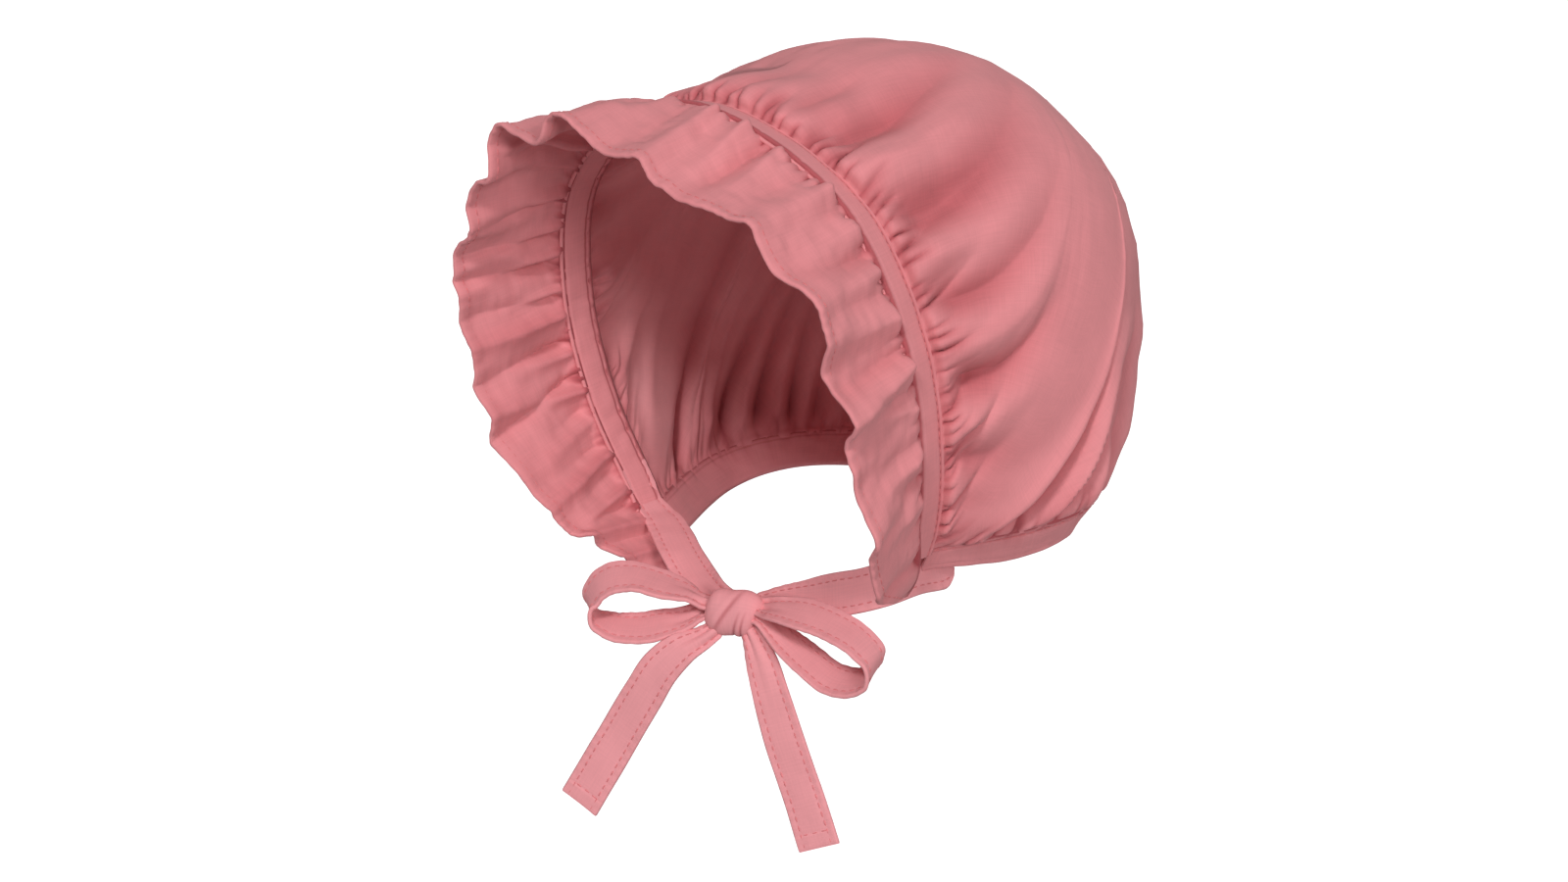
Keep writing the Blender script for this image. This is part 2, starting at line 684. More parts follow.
def crown_reach(edge, seam, at, turn):
    """The distance from the crown's middle to its cloth: its own at the edge, the round form's further on."""
    own = np.linalg.norm(edge - crown_middle(), axis=1)[:, None] / round_form(turn[:, 0])[:, None]
    angle = np.arccos(np.clip((turn * turn[:, :1]).sum(-1), -1, 1))
    shoulder = np.where(seam == 1, CROWN_SHOULDER_NECK, CROWN_SHOULDER_FACE)
    at_ear = (CROWN_SHOULDER_NECK + CROWN_SHOULDER_FACE) / 2
    shoulder = shoulder + (at_ear - shoulder) * fade((1 - abs(at)) / CROWN_SHOULDER_BY_EAR)
    return round_form(turn) * (1 + (own - 1) * fade(angle / shoulder[:, None]))


def crown_surface():
    """The crown's middle surface, [round the edge][edge to summit], its summit, where each place was on the
    uncut cloth, and how deep in a gather the outer and the inner face lie there."""
    edge, seam, at = crown_edge()
    sweep = (np.linspace(0, 1, CROWN_FINE_RINGS + 1) ** CROWN_RINGS_BY_SEAM)[:-1]
    summit = np.array((0.0, math.cos(CROWN_SUMMIT_UP), math.sin(CROWN_SUMMIT_UP)))
    turn = crown_turns(edge, seam, at, sweep, summit)
    grid = crown_middle() + turn * crown_reach(edge, seam, at, turn)[..., None]
    steps = np.linalg.norm(np.diff(grid, axis=1), axis=2)
    from_seam = np.concatenate([np.zeros((len(at), 1)), np.cumsum(steps, axis=1)], axis=1)
    past = np.clip(from_seam - TUCKED_UNDER, 0, None)
    run = run_lengths(edge)
    seam, at = seam[:, None], at[:, None]
    from_ear = 1 - abs(at)

    folds = crown_folds(seam, at, sweep[None])
    total = -folds * (1 - fade(past / (3 * mm)))
    small = gathers("crown small", run[:, None], past, run[-1])
    large = gathers("crown large", run[:, None], past, run[-1])
    by_nape = (seam == 1) * (1 - fade(from_ear / 0.12))
    puff = (CROWN_PUFF - CROWN_PUFF_LESS_BY_NAPE * by_nape) * (1 - fade(past / (2.6 * mm)))
    puff = puff * fade(past / CROWN_PUFF_LENGTH)
    crease = np.clip(1.05 * small + 0.95 * large, 0, 1.15)
    opening = 1 - fade(past / (12 * mm))
    by_ear = fade(from_ear / 0.035) * fade(past / (9 * mm))
    total += (puff * (1 - crease) - CROWN_GATHER_DEPTH * large * opening) * (1 - by_ear)
    side, rise = turn[..., 0] * CROWN_ROUND, turn[..., 2] * CROWN_ROUND
    total += unevenness("crown", side, rise) * (1 - fade(past / (9 * mm)))
    total += unevenness("crown crumples", side, rise) * (1 - fade(past / (6 * mm)))
    grid = grid + turn * total[..., None]

    eased = grid
    for _ in range(EAR_EASING):
        eased = (np.roll(eased, 1, axis=0) + 2 * eased + np.roll(eased, -1, axis=0)) / 4
    grid = grid + (eased - grid) * (fade(from_ear / 0.10) * (1 - fade(past / (7 * mm))))[..., None]
    top = crown_middle() + summit * (round_form(summit) + total[:, -1].mean())

    away, bearing = round_summit(turn, summit)[:2]
    flat = np.stack([away * np.cos(bearing), away * np.sin(bearing)], axis=-1) * CLOTH_ROUND
    valley = np.clip(folds / (10 * mm), 0, 0.6)
    tucked = np.clip(np.maximum((small * 1.5 + large * 0.8) * fade(past / (18 * mm)), valley), 0, 1)
    hollow = np.clip(-folds / (6 * mm), 0, 0.9)
    paler = CROWN_PALER_INSIDE * (1 - fade(past / (30 * mm)))
    return grid, top, flat, tucked, np.clip(tucked * 0.5 + hollow - paler, -CROWN_PALER_INSIDE, 1)


def crown_folds(seam, at, sweep):
    """How far the large folds draw the crown in, at a place on its edge and a sweep towards the rear. A fold
    by an ear carries on past it, on to the other seam."""
    total = np.zeros(np.broadcast(at, sweep).shape)
    rise = 0.15 + 0.85 * (1 - fade((sweep - 0.02) / 0.12))
    for name, place, half_width, depth, reach, drift in CROWN_FOLDS:
        own = int(name == "neck")
        past_ear = 1 + (1 - abs(at)) * SEAM_UNITS[1 - own] / SEAM_UNITS[own]
        here = np.where(seam == own, at, np.sign(at) * past_ear)
        off = (here - place - drift * sweep) / (half_width * (1 + 0.9 * sweep))
        shape = np.exp(-abs(off) ** CROWN_FOLD_SHAPE)
        total += depth * mm * shape * rise * fade((sweep / reach - 0.15) / 0.85)
    return total * (1 - fade((1 - abs(at)) / 0.05) * fade(sweep / 0.12))


def ruffle_surface():
    """The ruffle's middle surface, [ear to ear][seam to hem], the distances from the seam, from the hem and
    along the hem, and how deep in a gather each place lies."""
    table = np.array(RUFFLE_OUTLINE)
    waves = np.array(RUFFLE_WAVES)
    along = np.linspace(table[0, 0], table[-1, 0], RUFFLE_FINE_STEPS + 1)
    depth, flare, droop = smooth(along, table[:, 0], table[:, 1:]).T
    run, back, out = face_frame(along)
    wave = smooth(along, waves[:, 0], waves[:, 1]) * mm
    over_tie = np.where(along > 0, 1 - fade((abs(along) - 0.93) / 0.12), 0)
    start = face_seam(along) + face_band_across(along) * TUCKED_UNDER
    start = start + out * (RUFFLE_OVER_TIE * over_tie)[:, None]
    flare = np.radians(flare)[:, None]
    forward = out * np.sin(flare) - back * np.cos(flare)
    across = (np.linspace(0, 1, RUFFLE_FINE_ROWS + 1) ** 1.15)[None, :]
    reach = (depth * RUFFLE_DEPTH + TUCKED_UNDER)[:, None] * across
    grid = start[:, None] + forward[:, None] * reach[..., None]
    behind = (1 - fade((-along - 0.98) / 0.10))[:, None] * (1 - 0.75 * across)
    grid = grid + behind[..., None] * RUFFLE_BEHIND_TIE
    grid = grid - np.array((0, 0, RUFFLE_DEPTH)) * droop[:, None, None] * across[..., None]

    seam_run = run_lengths(face_seam(along))[:, None]
    past = np.clip(reach - TUCKED_UNDER, 0, None)
    from_hem = reach[:, -1:] - reach
    along, wave = along[:, None], wave[:, None]
    small, large, pillows = (
        gathers(f"ruffle {kind}", seam_run, past, seam_run[-1, 0]) for kind in ("small", "large", "pillows")
    )
    strength = np.array(RUFFLE_STRENGTH)
    large = np.where(along < RUFFLE_PILLOWS_FROM, large, pillows)
    large = large * smooth(along, strength[:, 0], strength[:, 1])
    opening = 1 - fade(past / (3.2 * mm))
    clear_of_ends = 1 - fade(np.minimum(table[-1, 0] - along, along - table[0, 0]) / 0.12)
    roll = RUFFLE_ROLL * (1 - fade(past / (3.5 * mm))) * fade(past / (22 * mm))
    tuck = RUFFLE_TUCK_DEPTH * small * (1 - fade(past / (0.8 * mm)))
    lift = wave * across**0.95 + (roll + RUFFLE_GATHER_HEIGHT * large * opening - tuck) * clear_of_ends
    lift = lift + unevenness("ruffle", seam_run, reach) * (1 - fade(past / (8 * mm))) * clear_of_ends
    bulge = sum(high * mm * bell((along - place) / wide) for place, wide, high in RUFFLE_BULGES)
    lift = lift + bulge * bell((across - 0.52) / 0.28)
    hem_ripple = np.sin(seam_run / (0.62 * mm) + 2.6 * np.sin(seam_run / (5.2 * mm)))
    lift = lift + 0.11 * mm * hem_ripple * fade(from_hem / (5 * mm)) * clear_of_ends
    grid = grid + out[:, None] * lift[..., None]
    lean = np.clip(wave / (7 * mm), 0, 1) * across**1.5 * abs(out[:, :1])
    grid[..., 2] -= RUFFLE_LEAN * lean
    hem_run = run_lengths(grid[:, -1])[:, None] + 0 * reach
    dark = small * 1.8 * fade(past / (6 * mm)) + 0.7 * bell(past / (0.9 * mm)) - 0.35 * large * opening
    return grid, reach, from_hem, hem_run, np.clip(dark, 0, 1)


def tape_surface(points, widths, width_along, round_start):
    """A tape's middle surface along a route, [start to end][edge to edge], with the distances along it and
    from its nearer edge."""
    points = np.asarray(points, float)
    run = run_lengths(points)
    at = np.linspace(0, 1, TAPE_STEPS + 1)
    if round_start:
        at = at**1.5
    at = at * run[-1]
    middle = smooth(at, run, points)
    along = tangent(lambda x: smooth(x, run, points), at)
    side = square_to(smooth(at, run, np.asarray(width_along, float) + 0 * points), along)
    width = smooth(at, run, np.asarray(widths, float)) * TIE_WIDTH
    if round_start:
        near = np.clip(at / (TIE_WIDTH / 2), 0.02, 1)
        width = width * np.sqrt(1 - (1 - near) ** 2)
    across = np.linspace(-1, 1, TAPE_ROWS + 1)
    across = np.sign(across) * (1 - (1 - abs(across)) ** 1.25)
    grid = middle[:, None] + side[:, None] * (width[:, None] / 2 * across)[..., None]
    from_edge = (1 - abs(across))[None] * width[:, None] / 2
    return grid, at[:, None] + 0 * from_edge, from_edge, across[None] + 0 * from_edge


def linked_faces(count, ring):
    """Quads between one ring of corners and the next, and the caps that close both ends."""
    faces = []
    for i in range(count - 1):
        a, b = i * ring, (i + 1) * ring
        faces += [(a + k, b + k, b + (k + 1) % ring, a + (k + 1) % ring) for k in range(ring)]
    for row in (0, count - 1):
        base = row * ring
        last = base + ring - 1
        cap = [(base + k, base + k + 1, last - 1 - k, last - k) for k in range(ring // 2 - 1)]
        faces += [tuple(reversed(quad)) for quad in cap] if row == 0 else cap
    return faces


def bag_faces(count, ring, columns):
    """Quads round a bag that closes on itself, and the fans that shut both its faces at the summit."""
    faces = []
    outer_tip, inner_tip = count * ring, count * ring + 1
    for i in range(count):
        a, b = i * ring, (i + 1) % count * ring
        sides = [k for k in range(ring) if k not in (columns - 1, columns)]
        faces += [(a + k, b + k, b + (k + 1) % ring, a + (k + 1) % ring) for k in sides]
        faces.append((a + columns - 1, b + columns - 1, outer_tip))
        faces.append((b + columns + 1, a + columns + 1, inner_tip))
    return faces


def sheet_mesh(name, grid, wall, flat, tip=None, tucked=None, tucked_in=None, lift_out=0.0, lift_in=0.0):
    """A sheet of cloth with both its faces and rounded edges, or a bag that closes on itself if it has a
    tip. flat is where each place was on the uncut cloth, in metres, tucked and tucked_in how deep in a
    gather its outer and inner face lie. lift_out and lift_in raise its two faces."""
    rows, columns = grid.shape[:2]
    wall = np.broadcast_to(wall, (rows, columns)).astype(float)
    normal = surface_normals(grid, tip is not None)
    outer = grid + normal * (wall / 2 + lift_out)[..., None]
    inner = grid - normal * (wall / 2 + lift_in)[..., None]
    near = grid[:, 0] + unit(grid[:, 0] - grid[:, 1]) * wall[:, :1] * EDGE_ROUNDING
    far = grid[:, -1] + unit(grid[:, -1] - grid[:, -2]) * wall[:, -1:] * EDGE_ROUNDING
    tucked = np.zeros((rows, columns)) if tucked is None else tucked
    tucked_in = tucked if tucked_in is None else tucked_in

    def ring_of(a, b, near_row, far_row):
        return np.concatenate([a, far_row[:, None], b[:, ::-1], near_row[:, None]], axis=1)

    places = ring_of(outer, inner, near, far)
    uvs = ring_of(flat, flat, flat[:, 0], flat[:, -1])
    deep = ring_of(tucked[..., None], tucked_in[..., None], tucked[:, :1], tucked[:, -1:])[..., 0]
    if tip is None:
        for end, step in ((0, 1), (-1, -2)):
            middle = grid[end]
            beyond = middle + unit(middle - grid[step]) * wall[end][:, None] * EDGE_ROUNDING
            thin_out, thin_in = (beyond + (face[end] - middle) * 0.35 for face in (outer, inner))
            edge_far = (thin_out[-1] + thin_in[-1]) / 2 + (far[end] - middle[-1]) * 0.6
            edge_near = (thin_out[0] + thin_in[0]) / 2 + (near[end] - middle[0]) * 0.6
            extra = np.concatenate([thin_out, edge_far[None], thin_in[::-1], edge_near[None]])[None]
            places, uvs, deep = (
                np.concatenate([new, old] if end == 0 else [old, new])
                for old, new in ((places, extra), (uvs, uvs[end][None]), (deep, deep[end][None]))
            )
    count, ring = places.shape[:2]
    points, uvs, deep = places.reshape(-1, 3), uvs.reshape(-1, 2), deep.reshape(-1)
    if tip is None:
        return mesh_from(name, points, linked_faces(count, ring), uvs, deep)
    above = unit(normal[:, -1].mean(axis=0)) * wall[0, -1] / 2
    points = np.vstack([points, tip + above, tip - above])
    uvs, deep = np.concatenate([uvs, np.zeros((2, 2))]), np.concatenate([deep, np.zeros(2)])
    return mesh_from(name, points, bag_faces(count, ring, columns), uvs, deep)


def mesh_from(name, points, faces, uvs, deep):
    mesh = bpy.data.meshes.new(name)
    mesh.from_pydata((points - SEAT).tolist(), [], [tuple(int(c) for c in face) for face in faces])
    mesh.validate()
    layer = mesh.uv_layers.new(name="cloth")
    corners = np.empty(len(mesh.loops), int)
    mesh.loops.foreach_get("vertex_index", corners)
    layer.data.foreach_set("uv", uvs[corners].astype(np.float32).ravel())
    mask = mesh.attributes.new("tucked", "FLOAT", "POINT")
    mask.data.foreach_set("value", deep.astype(np.float32))
    mesh.polygons.foreach_set("use_smooth", np.ones(len(mesh.polygons), bool))
    mesh.update()
    return mesh


def tube_mesh(points, radius, sides):
    """Corners and faces of a round cord along points."""
    along = unit(np.gradient(points, axis=0))
    ref = square_to(np.array((0.31, 0.17, 0.93)) + 0 * along, along)
    other = np.cross(along, ref)
    turn = np.arange(sides) * math.tau / sides
    circle = ref[:, None] * np.cos(turn)[None, :, None] + other[:, None] * np.sin(turn)[None, :, None]
    radius = np.broadcast_to(radius, len(points))
    corners = (points[:, None] + circle * radius[:, None, None]).reshape(-1, 3)
    faces = []
    for i in range(len(points) - 1):
        a, b = i * sides, (i + 1) * sides
        faces += [(a + k, a + (k + 1) % sides, b + (k + 1) % sides, b + k) for k in range(sides)]
    faces.append(tuple(reversed(range(sides))))
    faces.append(tuple((len(points) - 1) * sides + k for k in range(sides)))
    return corners, faces


def stitch_mesh(name, line, normal):
    """A row of small stitches that lie along a line on the cloth and dip into it at both ends."""
    run = run_lengths(line)
    pitch = STITCH + STITCH_SPACE
    count = int(run[-1] / pitch)
    corners, faces = [], []
    profile = ((0.0, -0.55, 0.5), (0.16, 0.15, 0.95), (0.5, 0.42, 1.0), (0.84, 0.15, 0.95), (1.0, -0.55, 0.5))
    sides = 6
    turn = np.arange(sides) * math.tau / sides
    start = (np.arange(count) + 0.25) * run[-1] / max(count, 1)
    for first in start:
        at = first + np.array([row[0] for row in profile]) * STITCH
        if at[-1] > run[-1]:
            continue
        place = np.stack([np.interp(at, run, line[:, i]) for i in range(3)], axis=1)
        up = unit(np.stack([np.interp(at, run, normal[:, i]) for i in range(3)], axis=1))
        ahead = unit(np.gradient(place, axis=0))
        side = unit(np.cross(ahead, up))
        base = len(corners)
        for k, (_, high, wide) in enumerate(profile):
            middle = place[k] + up[k] * high * THREAD
            for angle in turn:
                around = side[k] * math.cos(angle) * 0.62 + up[k] * math.sin(angle) * 0.42
                corners.append(middle + around * wide * THREAD)
        for k in range(len(profile) - 1):
            a, b = base + k * sides, base + (k + 1) * sides
            faces += [(a + s, a + (s + 1) % sides, b + (s + 1) % sides, b + s) for s in range(sides)]
        faces.append(tuple(base + s for s in reversed(range(sides))))
        faces.append(tuple(base + (len(profile) - 1) * sides + s for s in range(sides)))
    if not corners:
        return None
    corners = np.array(corners)
    return mesh_from(name, corners, faces, np.zeros((len(corners), 2)), np.zeros(len(corners)))


def joined(name, cloth_mesh, extras, materials):
    """One object from the cloth's mesh and its thread or cord, each with its own material."""
    made = []
    for mesh, number in [(cloth_mesh, 0)] + [(m, n) for m, n in extras if m is not None]:
        for material in materials:
            mesh.materials.append(material)
        mesh.polygons.foreach_set("material_index", np.full(len(mesh.polygons), number, np.int32))
        thing = bpy.data.objects.new(name, mesh)
        bpy.context.scene.collection.objects.link(thing)
        made.append(thing)
    if len(made) > 1:
        bpy.ops.object.select_all(action="DESELECT")
        for thing in made:
            thing.select_set(True)
        bpy.context.view_layer.objects.active = made[0]
        bpy.ops.object.join()
    piece = made[0]
    piece.name = name
    piece.data.name = name
    return piece


def node_group(name, inputs, outputs):
    group = bpy.data.node_groups.new(name, "ShaderNodeTree")
    for label, kind, value in inputs:
        socket = group.interface.new_socket(name=label, in_out="INPUT", socket_type=kind)
        if value is not None:
            socket.default_value = value
    for label, kind in outputs:
        group.interface.new_socket(name=label, in_out="OUTPUT", socket_type=kind)
    return group, group.nodes.new("NodeGroupInput"), group.nodes.new("NodeGroupOutput")


def math_nodes(tree):
    """A function that adds a math node to a node tree and gives its output."""

    def add(operation, a, b=None, clamp=False):
        node = tree.nodes.new("ShaderNodeMath")
        node.operation = operation
        node.use_clamp = clamp
        for socket, value in zip(node.inputs, (a, b)):
            if isinstance(value, (int, float)):
                socket.default_value = value
            elif value is not None:
                tree.links.new(value, socket)
        return node.outputs[0]

    return add


def plain_weave():
    """Node group: the height and tone of a plain weave with uneven threads, from a place on the cloth."""
    group, given, out = node_group(
        "plain weave",
        (("Flat", "NodeSocketVector", None), ("Thread", "NodeSocketFloat", THREAD)),
        (("Height", "NodeSocketFloat"), ("Slub", "NodeSocketFloat")),
    )
    nodes, links, sums = group.nodes, group.links, math_nodes(group)
    scaled = nodes.new("ShaderNodeVectorMath")
    scaled.operation = "SCALE"
    links.new(given.outputs["Flat"], scaled.inputs[0])
    links.new(sums("DIVIDE", 1.0, given.outputs["Thread"]), scaled.inputs["Scale"])
    split = nodes.new("ShaderNodeSeparateXYZ")
    links.new(scaled.outputs[0], split.inputs[0])
    slubs = []
    for stretch in ((1.0, SLUB_STRETCH, 1.0), (SLUB_STRETCH, 1.0, 1.0)):
        mapping = nodes.new("ShaderNodeMapping")
        mapping.inputs["Scale"].default_value = stretch
        links.new(scaled.outputs[0], mapping.inputs[0])
        noise = nodes.new("ShaderNodeTexNoise")
        noise.noise_dimensions = "2D"
        noise.inputs["Scale"].default_value = 0.55
        noise.inputs["Detail"].default_value = 2.0
        links.new(mapping.outputs[0], noise.inputs["Vector"])
        slubs.append(noise.outputs[0])
    waves = []
    for axis, slub in enumerate(slubs):
        shifted = sums("ADD", split.outputs[axis], sums("MULTIPLY", slub, 0.8))
        waves.append(sums("ABSOLUTE", sums("SINE", sums("MULTIPLY", shifted, math.pi))))
    height = sums("MULTIPLY", waves[0], waves[1])
    slub = sums("MULTIPLY", sums("ADD", slubs[0], slubs[1]), 0.5)
    relief = sums("ADD", sums("MULTIPLY", height, 0.6), sums("MULTIPLY", slub, 0.8))
    links.new(relief, out.inputs["Height"])
    links.new(slub, out.inputs["Slub"])
    return group


def dyed_tone():
    """Node group: the cloth's colour, with cloudy dye, uneven threads and deeper colour in gathers."""
    group, given, out = node_group(
        "dyed tone",
        (
            ("Colour", "NodeSocketColor", (0.5, 0.2, 0.2, 1.0)),
            ("Slub", "NodeSocketFloat", 0.5),
            ("Tucked", "NodeSocketFloat", 0.0),
            ("Cloud", "NodeSocketFloat", DYE_CLOUD),
        ),
        (("Colour", "NodeSocketColor"), ("Roughness", "NodeSocketFloat")),
    )
    nodes, links, sums = group.nodes, group.links, math_nodes(group)
    colour, slub, tucked, strength = (given.outputs[name] for name in ("Colour", "Slub", "Tucked", "Cloud"))
    place = nodes.new("ShaderNodeTexCoord")
    noise = nodes.new("ShaderNodeTexNoise")
    noise.inputs["Scale"].default_value = 38.0
    noise.inputs["Detail"].default_value = 4.0
    noise.inputs["Roughness"].default_value = 0.62
    links.new(place.outputs["Object"], noise.inputs["Vector"])
    cloud = sums("MULTIPLY", sums("SUBTRACT", noise.outputs[0], 0.5), strength)
    thread = sums("MULTIPLY", sums("SUBTRACT", slub, 0.5), SLUB_TONE)
    value = sums("ADD", sums("ADD", 1.0, cloud), thread)
    value = sums("SUBTRACT", value, sums("MULTIPLY", tucked, TUCKED_DARKER))
    shade = nodes.new("ShaderNodeHueSaturation")
    links.new(colour, shade.inputs["Color"])
    links.new(value, shade.inputs["Value"])
    links.new(sums("ADD", 1.0, sums("MULTIPLY", tucked, TUCKED_REDDER)), shade.inputs["Saturation"])
    links.new(shade.outputs[0], out.inputs["Colour"])
    rough = sums("ADD", 0.86, sums("MULTIPLY", thread, -0.5), clamp=True)
    links.new(rough, out.inputs["Roughness"])
    return group


def cloth_material(name, colour, thread_width, groups, sheen=0.12, bump=0.35):
    material = bpy.data.materials.new(name)
    material.use_nodes = True
    nodes, links = material.node_tree.nodes, material.node_tree.links
    shader = nodes["Principled BSDF"]
    where = nodes.new("ShaderNodeUVMap")
    where.uv_map = "cloth"
    weave = nodes.new("ShaderNodeGroup")
    weave.node_tree = groups["weave"]
    weave.inputs["Thread"].default_value = thread_width
    links.new(where.outputs[0], weave.inputs["Flat"])
    tucked = nodes.new("ShaderNodeAttribute")
    tucked.attribute_name = "tucked"
    tone = nodes.new("ShaderNodeGroup")
    tone.node_tree = groups["tone"]
    tone.inputs["Colour"].default_value = (*colour, 1.0)
    links.new(weave.outputs["Slub"], tone.inputs["Slub"])
    links.new(tucked.outputs["Fac"], tone.inputs["Tucked"])
    links.new(tone.outputs["Colour"], shader.inputs["Base Color"])
    links.new(tone.outputs["Roughness"], shader.inputs["Roughness"])
    relief = nodes.new("ShaderNodeBump")
    relief.inputs["Strength"].default_value = bump
    relief.inputs["Distance"].default_value = 0.0002
    links.new(weave.outputs["Height"], relief.inputs["Height"])
    links.new(relief.outputs[0], shader.inputs["Normal"])
    shader.inputs["Specular IOR Level"].default_value = 0.45
    shader.inputs["Sheen Weight"].default_value = sheen
    shader.inputs["Sheen Roughness"].default_value = 0.55
    shader.inputs["Sheen Tint"].default_value = (1.0, 0.82, 0.82, 1.0)
    return material


def cloth_groups():
    names = {"weave": ("plain weave", plain_weave), "tone": ("dyed tone", dyed_tone)}
    return {key: bpy.data.node_groups.get(label) or make() for key, (label, make) in names.items()}


def finishes():
    """The materials of cloth, ties and thread, made once from the colours in the panel."""
    looks = bpy.context.scene.bonnet_looks
    groups = cloth_groups()

    def once(name, colour, *finish):
        made = bpy.data.materials.get(name)
        return made or cloth_material(name, colour, looks.thread_width, groups, *finish)

    return (
        once("rose_cloth", looks.cloth_colour),
        once("rose_tape", looks.tie_colour, 0.12, 0.3),
        once("rose_thread", looks.thread_colour, 0.1, 0.1),
    )


def finish_piece(piece, slot, *nodes):
    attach(piece, "root")
    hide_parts(*nodes)


def make_crown():
    cloth = finishes()[0]
    grid, top, flat, tucked, tucked_in = crown_surface()
    mesh = sheet_mesh("crown_cloth", grid, CROWN_CLOTH, flat, tip=top, tucked=tucked, tucked_in=tucked_in)
    crown = joined("crown_cloth", mesh, [], [cloth])
    finish_piece(crown, "cloth_pink", "crown")


def band_piece(front, across, width):
    """A band's middle surface, [along][front to rear], and the distances along it and across it."""
    share = np.linspace(0, 1, BAND_ROWS + 1)
    reach = width[:, None] * share
    grid = front[:, None] + across[:, None] * reach[..., None]
    return grid, run_lengths(front)[:, None] + 0 * reach, reach


def line_at(distance, place, half_width):
    """A soft line along a seam, with 1 in its middle, at a distance from an edge. All are in metres."""
    return bell((distance - place) / half_width)


def make_face_band():
    cloth, _, thread = finishes()
    along = np.linspace(-FACE_BAND_END, FACE_BAND_END, BAND_STEPS + 1)
    front, across = face_seam(along), face_band_across(along)
    grid, run, reach = band_piece(front, across, np.full(len(along), FACE_BAND_WIDTH))
    length = run[-1, 0]
    rear = FACE_BAND_WIDTH - reach
    lift_out = unevenness("face band", run, reach)
    lift_out = lift_out - 0.45 * mm * line_at(rear, FACE_STITCH_LINE, SEAM_LINE)
    lift_out = lift_out - 0.14 * mm * line_at(reach, 1.5 * mm, SEAM_LINE)
    lift_out = lift_out - 0.11 * mm * gathers("face band rear", run, rear, length)
    lift_out = lift_out - 0.30 * mm * gathers("face band front", run, reach, length)
    lift_out = lift_out + 0.16 * mm * line_at(rear, 0.9 * mm, 0.6 * mm)
    lift_in = unevenness("face band inside", run, reach)
    lift_in = lift_in - 0.75 * mm * gathers("face band inside", run, rear, length)
    lift_in = lift_in - 0.45 * mm * bell(rear / (1.6 * mm)) - 0.5 * mm * line_at(reach, 0.7 * mm, 0.5 * mm)
    normal = surface_normals(grid)
    out = face_frame(along)[2]
    if (normal[:, BAND_ROWS // 2] * out).sum(-1).mean() < 0:
        lift_out, lift_in = lift_in, lift_out
    dark = 0.9 * line_at(reach, 0.1 * mm, 0.5 * mm) + 0.9 * line_at(rear, FACE_STITCH_LINE, SEAM_LINE)
    dark = dark + 0.8 * bell(rear / (0.4 * mm))
    flat = np.stack([run, reach], axis=-1)
    mesh = sheet_mesh("face_band_cloth", grid, BAND_WALL, flat, tucked=dark, lift_out=lift_out,
                      lift_in=lift_in)
    row = int(round((1 - FACE_STITCH_LINE / FACE_BAND_WIDTH) * BAND_ROWS))
    stitches = stitch_mesh("band_stitches", grid[:, row] + out * (BAND_WALL / 2 - 0.30 * mm), out)
    cord_line = front - out * (BAND_WALL / 2 + 0.15 * mm) - across * 0.75 * mm
    cord_line = cord_line + out * (np.sin(run[:, :1] / (0.9 * mm)) * 0.03 * mm)
    corners, faces = tube_mesh(cord_line, SEAM_CORD, SEAM_CORD_SIDES)
    cord_run = np.repeat(run[:, 0], SEAM_CORD_SIDES)
    flat = np.stack([cord_run, 0 * cord_run], axis=1)
    cord = mesh_from("seam_cord", corners, faces, flat, np.zeros(len(corners)))
    piece = joined("face_band_cloth", mesh, [(stitches, 1), (cord, 0)], [cloth, thread])
    finish_piece(piece, "cloth_pink", "face_band")


def make_neck_band():
    cloth, _, thread = finishes()
    ear_gap = 0.2 * (GAP + BAND_WALL / 2) / NECK_DEPTH
    around = np.linspace(-1 + ear_gap, 1 - ear_gap, BAND_STEPS * 3 // 4 + 1)
    front, across = neck_seam(around), neck_band_across(around)
    narrow = 1 - NECK_BAND_NARROWS * fade((1 - around) / 0.13)
    grid, run, reach = band_piece(front, across, NECK_BAND_WIDTH * narrow)
    lower = (reach / reach[:, -1:])[..., None]
    for end, before, past_ear in ((-1, -3, NECK_BAND_CORNER_LEFT), (0, 2, NECK_BAND_CORNER_RIGHT)):
        near_end = fade(abs(around - around[end]) / 0.06)[:, None, None]
        grid = grid + lower * near_end * unit(front[end] - front[before]) * past_ear
    length = run[-1, 0]
    pucker = gathers("neck band pucker", run, reach, length)
    lift_in = unevenness("neck band", run, reach) - pucker * 0.35 * mm
    lift_in = lift_in - gathers("neck band top", run, reach, length) * 0.40 * mm
    top = line_at(reach, NECK_STITCH_LINE, SEAM_LINE)
    low = line_at(reach[:, -1:] - reach, 1.8 * mm, SEAM_LINE)
    lift_out = lift_in - top * 0.22 * mm - low * 0.16 * mm
    normal = surface_normals(grid)[:, BAND_ROWS // 2]
    outward = square_to(front - np.array((0.0, front[:, 1].mean() * 0.4, 0.0)), across)
    normal = normal * np.sign((normal * outward).sum(-1).mean())
    dark = np.clip(0.9 * bell(reach / (0.5 * mm)) + 0.4 * top + 0.3 * pucker, 0, 1)
    flat = np.stack([run, reach], axis=-1)
    mesh = sheet_mesh("neck_band_cloth", grid, BAND_WALL, flat, tucked=dark, lift_out=lift_out,
                      lift_in=lift_in)
    row = int(round(NECK_STITCH_LINE / NECK_BAND_WIDTH * BAND_ROWS))
    stitches = stitch_mesh("neck_stitches", grid[:, row] + normal * (BAND_WALL / 2 - 0.16 * mm), normal)
    piece = joined("neck_band_cloth", mesh, [(stitches, 1)], [cloth, thread])
    finish_piece(piece, "cloth_pink", "neck_band")


